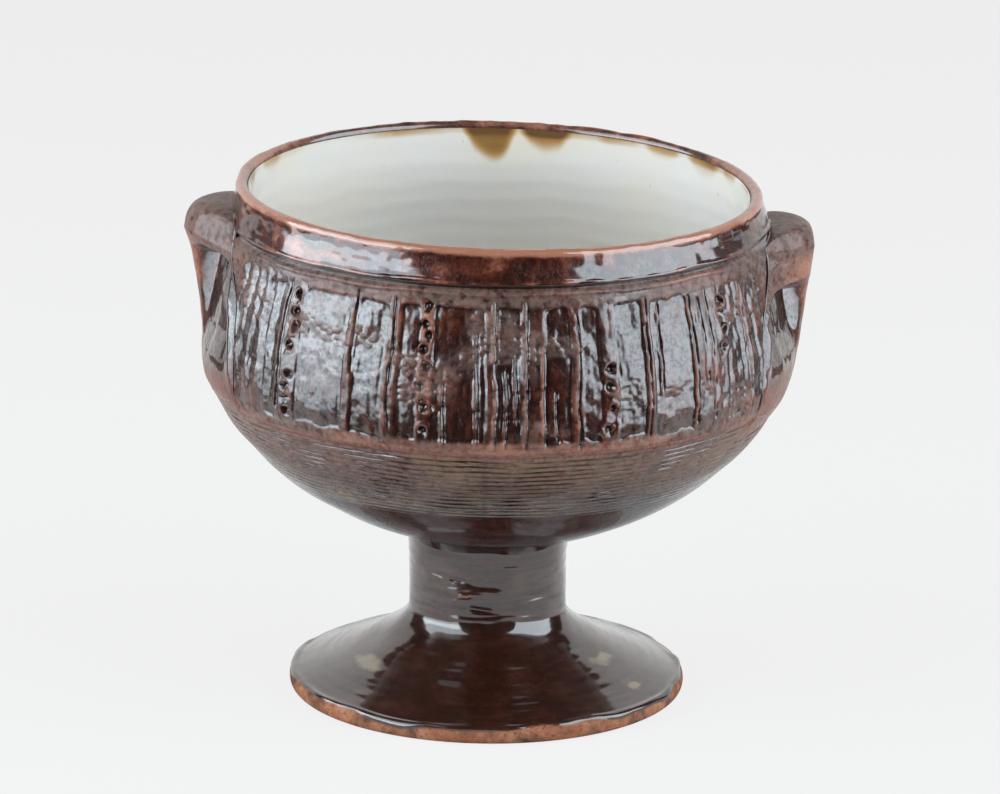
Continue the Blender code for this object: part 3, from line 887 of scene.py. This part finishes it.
# pedestal: stem, flare, foot edge with its glaze line, and the hollow below
footShape = dict(columns=560, edge=5.0, ring=7.0, flareHeight=26.0, waist=23.2, bore=17.4,
                 topSpread=1.2, topOver=1.2, flareSlope=20.0, flareReach=16.3, edgePower=0.55,
                 stemRows=52, flareRows=64, underRow=150, glazeLine=1.1, coat=0.38, bead=0.30,
                 rings=dict(Spacing=4.2 * mm, Depth=0.20 * mm, Sharpness=1.2, Spiral=1.0, Seed=5.0))
# thin tan patches in the foot's glaze, by angle from the front and distance from the axis in mm
blotches = named(
    "angle radius wide deep strength",
    (-61.0, 41.0, 10.0, 3.2, 0.85), (64.0, 38.5, 7.5, 2.6, 1.0), (61.0, 51.0, 4.5, 2.0, 0.9),
    (-27.0, 53.0, 12.0, 1.8, 0.34), (-6.0, 54.0, 9.0, 1.6, 0.3), (150.0, 44.0, 8.0, 2.0, 0.9),
    (-140.0, 49.0, 6.0, 2.0, 0.8))
# nicks and one torn scar left on the stem, heights and depths in mm
slits = named(
    "angle height half depth",
    (-34.0, 39.4, 24.0, 0.32), (-5.5, 30.2, 11.0, 0.22), (30.0, 33.8, 20.0, 0.15),
    (140.0, 36.0, 22.0, 0.35))
scar = dict(angle=-18.0, height=33.6, climb=0.15, waver=0.5, half=0.50, rise=0.16)


def stemScar(angle, height):
    away = turnFrom(angle, scar["angle"])
    line = (scar["height"] + scar["climb"] * away) + scar["waver"] * clayNoise(angle, 0.0, 120, 1, 88)
    return bump(height - line, scar["half"]) * softFall(5.0, 11.0, np.abs(away))


def stemMark(angle, height):
    mark = scar["rise"] * stemScar(angle, height)
    ragged = 0.7 + 0.5 * clayNoise(angle, 0.0, 70, 1, 57)
    for s in slits:
        away = turnFrom(angle, s["angle"])
        span = softFall(0.6 * s["half"], s["half"], np.abs(away))
        level = s["height"] - 0.05 * away
        mark -= s["depth"] * span * ragged * bump(height - level, 0.6)
    return mark


def footProfile():
    f = footShape
    waist = (f["waist"], f["flareHeight"])
    middle = (f["waist"], (f["flareHeight"] + stemTop) / 2)
    top = (f["waist"] + f["topSpread"], stemTop + f["topOver"])
    stem = bezier(top, (f["waist"], stemTop - 5.0), middle, waist, 40)
    half = f["edge"] / 2
    edgeX = footRadius - half
    slope = radians(f["flareSlope"])
    flareEnd = (edgeX - f["flareReach"] * cos(slope), f["edge"] + f["flareReach"] * sin(slope))
    flare = bezier(waist, (f["waist"], f["flareHeight"] - 7.1), flareEnd, (edgeX, f["edge"]), 80)
    turn = np.radians(np.linspace(90, -90, 26))
    bulge = half * unit(np.cos(turn)) ** f["edgePower"]
    edge = np.stack([edgeX + bulge, half + half * np.sin(turn)], 1)
    ring = (edgeX - f["ring"], 0.0)
    bore = (f["bore"], f["flareHeight"])
    hollow = bezier(ring, (ring[0] - 14, f["edge"]), (f["bore"], f["flareHeight"] - 9), bore, 24)
    return np.concatenate([
        resample(stem, f["stemRows"]), resample(flare, f["flareRows"])[1:], edge[1:],
        resample([edge[-1], ring], 4)[1:], resample(hollow, 14)[1:],
        resample([bore, (f["bore"], stemTop)], 4)[1:]])


def makePedestal():
    f = footShape
    profile = footProfile()
    along = lengthAlong(profile)[:, None]
    angle = angleGrid(f["columns"], len(profile))
    height = profile[:, 1:]
    up = unit(height / stemTop)
    row = np.arange(len(profile))[:, None]
    edgeRow = f["stemRows"] + f["flareRows"] - 1
    outside = row <= edgeRow
    facing = row < f["underRow"]
    # the glaze stops in an uneven, beaded line along the top of the foot's edge
    line = f["glazeLine"] + clayLayers(angle, 0.0, (1.4, 14, 1, 81), (0.8, 44, 1, 82))
    past = along - along[edgeRow] - line
    bare = softStep(-0.2, 0.25, past)
    coat = f["coat"] * softFall(-0.6, 0.1, past)
    bead = f["bead"] * bump(past + 1.2, 1.0) * (0.7 + 0.6 * clayNoise(angle, 0.0, 36, 1, 80))
    lumps = clayLayers(angle, up, (0.20, 18, 10, 83), (0.03, 50, 24, 89)) * outside
    streaks = clayNoise(angle, up, 22, 90, 87)
    relief = (coat + bead) * facing + lumps + (0.055 * streaks + stemMark(angle, height)) * outside
    relief = relief * softStep(0.0, 1.0, height)
    normal = normalOf(profile)
    radius = profile[:, :1] + relief * normal[:, :1]
    tall = height + relief * normal[:, 1:] * (height > 1.0)
    onStem = softStep(24, 30, height)
    ringMask = 0.10 + 0.32 * onStem + 0.5 * softStep(44, 50, radius)
    ringMask = ringMask * softStep(6.5, 10, height) * softStep(0.5, 4, stemTop - height) * outside
    ochre = 0.0 * angle
    for b in blotches:
        across = turnFrom(angle, b["angle"] + 0.5 * (radius - b["radius"]))
        ochre += b["strength"] * bump(across, b["wide"]) * bump(radius - b["radius"], b["deep"])
    ragged = 1.0 + clayLayers(angle, up, (0.55, 46, 30, 84), (0.35, 110, 60, 79))
    ochre = np.clip(2.4 * ochre * ragged - 0.75, 0.0, 0.85) * outside
    wear = 0.55 * bump(past + 0.35, 0.5) * facing - 0.50 + 0.12 * clayNoise(angle, up, 14, 6, 85)
    wear = wear + (0.30 * streaks + stemScar(angle, height)) * outside
    matte = 0.8 * ochre + 0.25 * softStep(0.0, 0.7, clayNoise(angle, up, 11, 5, 86)) * onStem
    values = {"relief": lumps, "wear": wear, "ochre": ochre, "bare": bare, "matte": matte,
              "along": along * mm, "ringMask": ringMask}
    piece = turnedPiece("pedestalFoot", radius, tall, angle, footGlaze, values, stemAxis)
    return runTree(piece, ringTree, Clay=footGlaze, **f["rings"])


# slip worked into a hollow fillet where the stem meets the bowl
seamLook = dict(columns=240, low=45.9, high=51.4, spread=3.8, inside=2.0, clear=0.15,
                power=1.25, waver=0.12, wear=-0.3)


def makeStemSeam():
    look = seamLook
    foot = footShape["waist"] + look["clear"]
    t = np.linspace(0.0, 1.0, 14)
    rise = look["low"] + (look["high"] - look["low"]) * t
    bow = np.stack([foot + look["spread"] * t ** look["power"], rise], 1)[::-1]
    back = [(foot - look["inside"], look["low"] - 0.3), (foot - look["inside"], look["high"])]
    profile = np.concatenate([bow, back, bow[:1]])
    angle = angleGrid(look["columns"], len(profile))
    radius = profile[:, :1] + look["waver"] * clayNoise(angle, 0.0, 20, 1, 91)
    values = {"relief": 0.0, "wear": look["wear"], "ochre": 0.0}
    return turnedPiece("stemSeam", radius, profile[:, 1:], angle, rimGlaze, values, stemAxis)


# lug handles: a thick hood on the wall over a thinner, thumb-scooped fin that runs down into the wall
lugSides = dict(
    left=dict(turn=-90.0, reach=12.3, taper=2.3, hoodEnd=11.5, scoopEnd=49.0, dip=0.2),
    right=dict(turn=90.0, reach=11.9, taper=1.75, hoodEnd=17.0, scoopEnd=46.0, dip=2.0))
lugLook = dict(rows=170, columns=190, hoodHalf=15.5, finHalf=7.0, finSpread=0.5, smear=0.35, lip=1.0,
               arch=1.5, knee=8.0, bury=1.4, drag=0.30, past=8.0, tail=3,
               lumps=((0.16, 60, 8, 95), (0.08, 140, 16, 96)))


def lugSpine(side, length):
    # the ridge seen from the side: out along the top, round the crown, down into the wall
    bury = lugLook["bury"]
    knee = lugLook["knee"]
    reach = side["reach"]
    crown = bezier((-bury, -side["dip"]), (10.5, 0.7), (reach + 0.8, 0.4), (reach, -knee), 30)
    t = np.linspace(0.0, 1.0, 50)[1:, None]
    run = -bury + (reach + bury) * (1.0 - t) ** side["taper"]
    down = np.concatenate([run, -knee - (length - knee) * t], 1)
    return resample(np.concatenate([crown, down]), lugLook["rows"])


def makeLug(name):
    look = lugLook
    side = lugSides[name]
    low, high = boxOf(name + "_lug")
    length = high[2] - low[2] + look["tail"]
    spine = lugSpine(side, length)
    drop = -spine[:, 1:]
    share = unit(drop / length)
    lipAt = lugLip(drop)
    across = np.linspace(-1.0, 1.0, look["columns"])[None, :] * (lipAt + look["past"])
    away = np.abs(across)
    # the hood is thick and square-shouldered, the fin under it is thinner
    under = softStep(side["hoodEnd"] - 0.8, side["hoodEnd"] + 2.4, drop)
    lost = softStep(side["scoopEnd"] - 14, side["scoopEnd"], drop)
    hollow = under * (1 - lost)
    width = look["hoodHalf"] * (1 - under) + look["finHalf"] * (1.0 + look["finSpread"] * lost) * under
    body = np.exp(-(away / width) ** (2.3 * (1 - under) + 2.0 * under))
    # clay smeared out by the thumb on each side, up to a raised lip
    bury = look["bury"]
    smear = softFall(0.0, 5.0, away - lipAt) * softStep(4.0, 9.0, drop) * softFall(0.80, 1.0, share)
    base = -bury + (bury + look["smear"]) * smear
    out = base + np.maximum(spine[:, :1] - base, 0.0) * body
    scoop = hollow * (1.0 - body) * (1.0 - bump(away - lipAt, 5.0))
    uneven = 0.8 + 0.5 * clayNoise(10.0 * share + np.sign(across), share, 12, 4, 94)
    lip = hollow * bump(away - lipAt, 2.3) * uneven
    arch = look["arch"] * softFall(0.0, 0.5, share) * np.minimum(away / look["hoodHalf"], 1.6) ** 3
    height = high[2] - drop - arch
    wall = wallRadius(height)
    turn = radians(side["turn"]) + across / wall
    # drag marks of the thumb run down each hollow
    drag = look["drag"] * hollow * (1 - body) * clayNoise(turn, share, 130, 3, 98)
    out = out + look["lip"] * lip + drag + clayLayers(turn, share, *look["lumps"])
    radius = wall + out - lugScoop(turn, height)
    wear = body ** 1.5 * softStep(4, 12, drop) * (0.50 + 0.45 * clayNoise(turn, share, 70, 14, 99))
    wear = wear + 0.12 * clayNoise(turn, share, 40, 8, 97) + 0.08
    wear = wear - 0.40 * hollow * (1 - body) + 0.35 * lip + 0.35 * lost
    matte = unit(1.0 - under + 0.5 * softStep(0.70, 0.9, share) + 0.6 * body ** 2) * (1.0 - 0.5 * scoop)
    values = {"relief": 0.0, "wear": wear, "ochre": 0.0, "matte": matte}
    piece = turnedPiece(name + "Lug", radius, height, turn, lugGlaze, values, closed=False)
    return piece, lugCrease(aroundAxis(radius, height, turn), out)


def lugCrease(verts, out):
    # the line where the lug comes out of the wall, down one side and up the other
    down, back = [], []
    for row in range(3, len(out), 2):
        clear = np.nonzero(out[row] > 0.0)[0]
        if len(clear):
            down.append(verts[row, clear[0]])
            back.append(verts[row, clear[-1]])
    line = np.array(down + back[::-1])
    for _ in range(6):
        line = (np.roll(line, 1, 0) + 2.0 * line + np.roll(line, -1, 0)) / 4.0
    return line


# bead of luting slip along the line where each lug meets the wall
slipLook = dict(radius=0.55 * mm, sunk=0.30)


def makeLugSlip(name, outline):
    path = bpy.data.curves.new(name + "LugSlip", "CURVE")
    path.dimensions = "3D"
    line = path.splines.new("POLY")
    line.points.add(len(outline) - 1)
    for point, place in zip(line.points, outline):
        flat = Vector((place[0], place[1], 0.0))
        seat = flat.normalized() * float(wallRadius(place[2]) - slipLook["sunk"])
        point.co = (seat.x * mm, seat.y * mm, place[2] * mm, 1.0)
    line.use_cyclic_u = True
    path.bevel_depth = slipLook["radius"]
    path.bevel_resolution = 3
    rope = addObject(name + "LugSlipPath", path)
    mesh = evaluatedMesh(rope)
    bpy.data.objects.remove(rope)
    mesh.materials.clear()
    mesh.materials.append(ironGlaze)
    mesh.shade_smooth()
    return addObject(name + "LugSlip", mesh)


# burrs thrown up round the pierced dots
burrLook = dict(radius=1.45 * mm, thick=0.42 * mm, squash=0.30, sweep=2.4, tilt=0.25, sunk=0.75, seed=4,
                values=dict(wear=0.22, relief=0.1))


def buildBurrTree():
    inputs = [("Geometry", "Geometry", None), ("Radius", "Float", 1.5 * mm),
              ("Thickness", "Float", 0.4 * mm), ("Unevenness", "Float", 0.2),
              ("Seed", "Int", None), ("Clay", "Material", None)]
    tree, entry, leave = newTree("pierceBurrs", "GeometryNodeTree", inputs, [("Geometry", "Geometry")])
    bend = {"Resolution": 12, "Sweep Angle": burrLook["sweep"], "Radius": entry["Radius"]}
    arc = made(tree, "GeometryNodeCurveArc", bend, mode="RADIUS")
    cut = made(tree, "GeometryNodeCurvePrimitiveCircle", {"Resolution": 6, "Radius": entry["Thickness"]})
    swept = {"Curve": arc, "Profile Curve": cut, "Fill Caps": True}
    tube = made(tree, "GeometryNodeCurveToMesh", swept)
    facing = storedValue(tree, "facing", "FLOAT_VECTOR")
    align = made(tree, "FunctionNodeAlignRotationToVector", {"Vector": facing}, axis="Z")
    tilt = burrLook["tilt"]
    anyTurn = {"Min": (0.0, 0.0, 0.0), "Max": (tilt, tilt, tau), "Seed": entry["Seed"]}
    spin = made(tree, "FunctionNodeRandomValue", anyTurn, data_type="FLOAT_VECTOR")
    spun = {"Rotation": align, "Rotate By": spin}
    turned = made(tree, "FunctionNodeRotateRotation", spun, rotation_space="LOCAL")
    anySize = {"Seed": entry["Seed"]}
    for label, sign in (("Min", -1.0), ("Max", 1.0)):
        size = timesPlus(tree, entry["Unevenness"], sign, 1.0)
        anySize[label] = made(tree, "ShaderNodeCombineXYZ", dict.fromkeys((0, 1, 2), size))
    spread = made(tree, "FunctionNodeRandomValue", anySize, data_type="FLOAT_VECTOR")
    placed = {"Points": entry["Geometry"], "Instance": tube, "Rotation": turned,
              "Scale": spread}
    place = made(tree, "GeometryNodeInstanceOnPoints", placed)
    whole = made(tree, "GeometryNodeRealizeInstances", {0: place})
    smooth = made(tree, "GeometryNodeSetShadeSmooth", {"Geometry": whole})
    feed(tree, leave, {0: painted(tree, smooth, entry["Clay"])})
    return tree


def makeBurrs():
    points = []
    facing = []
    for c in dotColumns:
        for k, h in enumerate(c["heights"]):
            angle = radians(c["angle"] - dotSway(k))
            radius = wallRadius(h) + outOfRound(np.array(angle)) - burrLook["sunk"]
            points.append((radius * sin(angle), -radius * cos(angle), lifted(np.array(angle), h)))
            facing.append((sin(angle), -cos(angle), 0.0))
    mesh = bpy.data.meshes.new("dotBurrs")
    mesh.from_pydata((np.array(points) * mm).tolist(), [], [])
    layer = mesh.attributes.new("facing", "FLOAT_VECTOR", "POINT")
    layer.data.foreach_set("vector", np.array(facing, np.float32).ravel())
    piece = addObject("dotBurrs", mesh)
    runTree(piece, buildBurrTree(), Radius=burrLook["radius"], Thickness=burrLook["thick"],
            Unevenness=burrLook["squash"], Seed=burrLook["seed"], Clay=ironGlaze)
    count = len(piece.data.vertices)
    addValues(piece.data, {key: np.full(count, value) for key, value in burrLook["values"].items()})
    return piece


for bowlPiece in (makeRim(), *makeWall(), makeBelly()):
    handOver(bowlPiece, "iron_glaze", "bowl")
print("bowl ready")
handOver(makeLiner(), "white_glaze", "liner_glaze")
handOver(makePedestal(), "iron_glaze", "pedestal")
handOver(makeStemSeam(), "clay_slip", "stem_slip_seam")
print("liner and pedestal ready")
handOver(makeBurrs(), "iron_glaze", "bowl")
for lugName in lugSides:
    lugPiece, creaseLine = makeLug(lugName)
    handOver(lugPiece, "iron_glaze", lugName + "_lug")
    handOver(makeLugSlip(lugName, creaseLine), "clay_slip", lugName + "_lug_slip")
print("burrs and lugs ready")


# floor, light and camera
studio = dict(
    floorColour=(0.62, 0.62, 0.61), shownColour=(1.0, 1.0, 0.995), floorShown=0.91, backShown=0.97,
    shownShare=0.88, shadowNear=0.08, shadowFar=0.13, skyShown=0.885, ambient=0.34, ambientGlossy=0.02,
    floorHalf=0.42, floorFront=-0.168, floorEnd=0.7, backStart=0.9, backHalf=4.6, backAway=3.4, backHigh=3.4)


def makeFloorPaper(name, level):
    material, tree, shader = newMaterial(name)
    feed(tree, shader, {"Base Color": studio["floorColour"], "Roughness": 0.9, "Specular IOR Level": 0.1})
    shown = made(tree, "ShaderNodeEmission", {"Color": studio["shownColour"], "Strength": level})
    path = addNode(tree, "ShaderNodeLightPath").outputs
    # reflections close to the pot keep its shadow
    away = addNode(tree, "ShaderNodeVectorMath", {0: objectPlace(tree)}, operation="LENGTH")
    reach = away.outputs["Value"]
    clear = rangeNode(tree, reach, studio["shadowNear"], studio["shadowFar"])
    seen = mathNode(tree, "MAXIMUM", path["Is Camera Ray"], times(tree, path["Is Glossy Ray"], clear))
    seen = mathNode(tree, "MAXIMUM", seen, path["Is Transmission Ray"])
    share = times(tree, seen, studio["shownShare"])
    blend = made(tree, "ShaderNodeMixShader", {0: share, 1: shader.outputs[0], 2: shown})
    feed(tree, tree.nodes["Material Output"], {"Surface": blend})
    return material


def makeFloor():
    s = studio
    half, wide, away, high = s["floorHalf"], s["backHalf"], s["backAway"], s["backHigh"]
    right = [(half, s["floorFront"]), (half, s["floorEnd"]), (wide, s["backStart"]), (wide, away)]
    left = [(-x, y) for x, y in right[::-1]]
    flat = np.array([(x, y, 0.0) for x, y in left[-1:] + right + left[:-1]])
    sheet = np.array([(wide, away, 0.0), (-wide, away, 0.0), (-wide, away, high), (wide, away, high)])
    floorPaper = makeFloorPaper("paleFloor", s["floorShown"])
    sheetPaper = makeFloorPaper("paleBackdrop", s["backShown"])
    meshPiece("floor", flat, np.array([range(len(flat))]), floorPaper, {})
    meshPiece("backdrop", sheet, np.array([[0, 3, 2, 1]]), sheetPaper, {})


# softboxes by turn from the front in degrees; the left one is brighter across its middle
softboxColour = (0.82, 0.92, 1.0)
softboxWide = 1.05
softboxTilt = 0.25
softboxes = named(
    "name turn level tall height away",
    ("leftSoftbox", -70.0, 3.5, 1.25, 0.48, 0.85), ("rightSoftbox", 70.0, 4.4, 1.25, 0.48, 0.85),
    ("leftHeart", -70.0, 3.0, 0.36, 0.33, 0.82))


def makeSoftbox(box):
    light = bpy.data.lights.new(box["name"], "AREA")
    light.shape = "RECTANGLE"
    light.size = softboxWide
    light.size_y = box["tall"]
    light.energy = box["level"] * pi * light.size * light.size_y
    light.color = softboxColour
    turn = radians(box["turn"])
    aside = Vector((sin(turn), -cos(turn), 0.0))
    lamp = addObject(box["name"], light)
    lamp.location = aside * box["away"] + Vector((0.0, 0.0, box["height"]))
    lamp.rotation_euler = (aside + Vector((0.0, 0.0, softboxTilt))).to_track_quat("Z", "Y").to_euler()


def makeWorld():
    world = bpy.data.worlds.new("studio")
    world.use_nodes = True
    tree = world.node_tree
    ambient = studio["ambient"]
    path = addNode(tree, "ShaderNodeLightPath").outputs
    level = timesPlus(tree, path["Is Glossy Ray"], studio["ambientGlossy"] - ambient, ambient)
    level = timesPlus(tree, path["Is Camera Ray"], studio["skyShown"] - ambient, level)
    feed(tree, tree.nodes["Background"], {"Color": (1.0, 1.0, 1.0), "Strength": level})
    scene.world = world


view = dict(target=(0.85 * mm, 0.0, 89.8 * mm), away=1.8, pitch=15.77, roll=0.75, focalPixels=6000.0,
            imageWidth=1000.0, sensorWidth=36.0, clipEnd=50.0)


def makeCamera():
    pitch = radians(view["pitch"])
    roll = radians(view["roll"])
    forward = Vector((0.0, cos(pitch), -sin(pitch)))
    level = Vector((1.0, 0.0, 0.0))
    upright = level.cross(forward)
    right = level * cos(roll) + upright * sin(roll)
    up = upright * cos(roll) - level * sin(roll)
    camera = bpy.data.cameras.new("photoView")
    camera.sensor_width = view["sensorWidth"]
    camera.lens = view["sensorWidth"] * view["focalPixels"] / view["imageWidth"]
    camera.clip_end = view["clipEnd"]
    eye = addObject("photoView", camera)
    place = Vector(view["target"]) - forward * view["away"]
    turn = Matrix((right, up, -forward)).transposed()
    eye.matrix_world = Matrix.Translation(place) @ turn.to_4x4()
    scene.camera = eye


makeFloor()
for softbox in softboxes:
    makeSoftbox(softbox)
makeWorld()
makeCamera()
print("studio ready")
